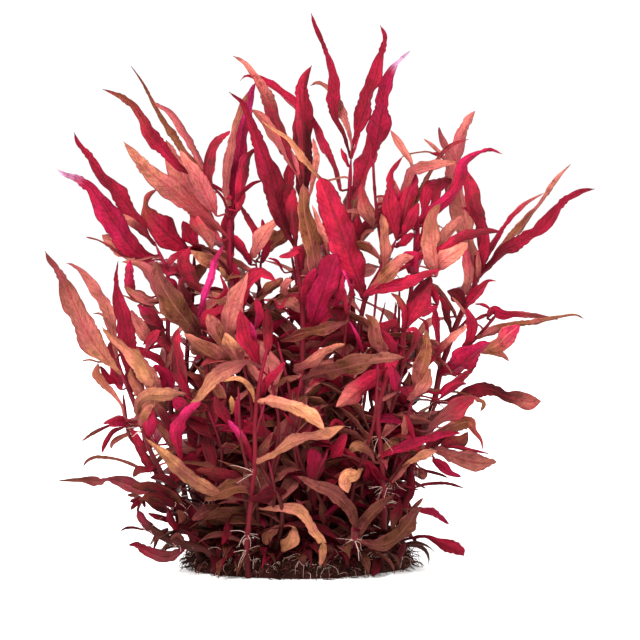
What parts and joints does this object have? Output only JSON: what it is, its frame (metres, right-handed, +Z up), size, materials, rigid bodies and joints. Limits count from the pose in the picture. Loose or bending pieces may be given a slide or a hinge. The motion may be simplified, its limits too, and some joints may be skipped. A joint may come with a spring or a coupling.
{
  "type": "aquarium plant",
  "caption": "Bushy clump of alternanthera: red stems with lance-shaped crimson, salmon and olive leaves in pairs, standing on its flat root mat.",
  "frame": {"origin": "on the flat underside of the root mat, below the middle of the clump", "axes": "+Z up along the stems, +X to the right as the clump is seen from its front, +Y away from the viewer"},
  "size_m": [0.2691, 0.1806, 0.2783],
  "materials": {
    "leaf_crimson": "satin",
    "leaf_gold": "satin",
    "leaf_magenta": "satin",
    "leaf_maroon": "satin",
    "leaf_olive": "satin",
    "leaf_salmon": "satin",
    "root": "matte",
    "shoot": "satin",
    "stem": "satin"
  },
  "bodies": {
    "root": {"leaf_centre_broad": "leaf_crimson", "leaf_centre_long": "leaf_crimson", "leaf_centre_magenta": "leaf_magenta", "leaf_centre_upright": "leaf_maroon", "leaf_far_left": "leaf_salmon", "leaf_far_right_high": "leaf_crimson", "leaf_far_right_low": "leaf_olive", "leaf_front_arched": "leaf_salmon", "leaf_front_gold": "leaf_gold", "leaf_front_long": "leaf_olive", "leaf_front_orange": "leaf_gold", "leaf_ground_left": "leaf_crimson", "leaf_left_bright": "leaf_crimson", "leaf_left_crimson": "leaf_crimson", "leaf_left_curled": "leaf_salmon", "leaf_left_folded": "leaf_gold", "leaf_left_lilac_tip": "leaf_magenta", "leaf_left_olive": "leaf_olive", "leaf_left_salmon": "leaf_salmon", "leaf_left_upright": "leaf_magenta", "leaf_low_left_long": "leaf_crimson", "leaf_low_left_orange": "leaf_salmon", "leaf_low_right_brown": "leaf_olive", "leaf_low_right_wavy": "leaf_crimson", "leaf_pale_tip": "leaf_magenta", "leaf_right_blunt": "leaf_salmon", "leaf_right_magenta": "leaf_magenta", "leaf_right_thin": "leaf_olive", "leaf_right_wavy": "leaf_maroon", "leaf_top_crest": "leaf_crimson", "leaf_top_right": "leaf_crimson", "leaf_upper_left": "leaf_crimson", "leaf_upper_left_thin": "leaf_maroon", "leaf_upper_right_bent": "leaf_magenta", "root_mat": "root", "shoot_back_centre": "shoot", "shoot_back_left": "shoot", "shoot_back_right": "shoot", "shoot_low_left": "shoot", "shoot_low_right": "shoot", "stem_centre": "stem", "stem_centre_back": "stem", "stem_centre_right": "stem", "stem_centre_right_fork": "stem", "stem_centre_tall": "stem", "stem_front_red": "stem", "stem_front_short": "stem", "stem_left_back": "stem", "stem_left_bent": "stem", "stem_left_centre": "stem", "stem_left_centre_fork": "stem", "stem_left_front": "stem", "stem_left_low": "stem", "stem_left_tall": "stem", "stem_left_upper": "stem", "stem_lower_right": "stem", "stem_right_diagonal": "stem", "stem_right_main": "stem", "stem_right_red": "stem", "stem_right_side_shoot": "stem"}
  },
  "joints": []
}
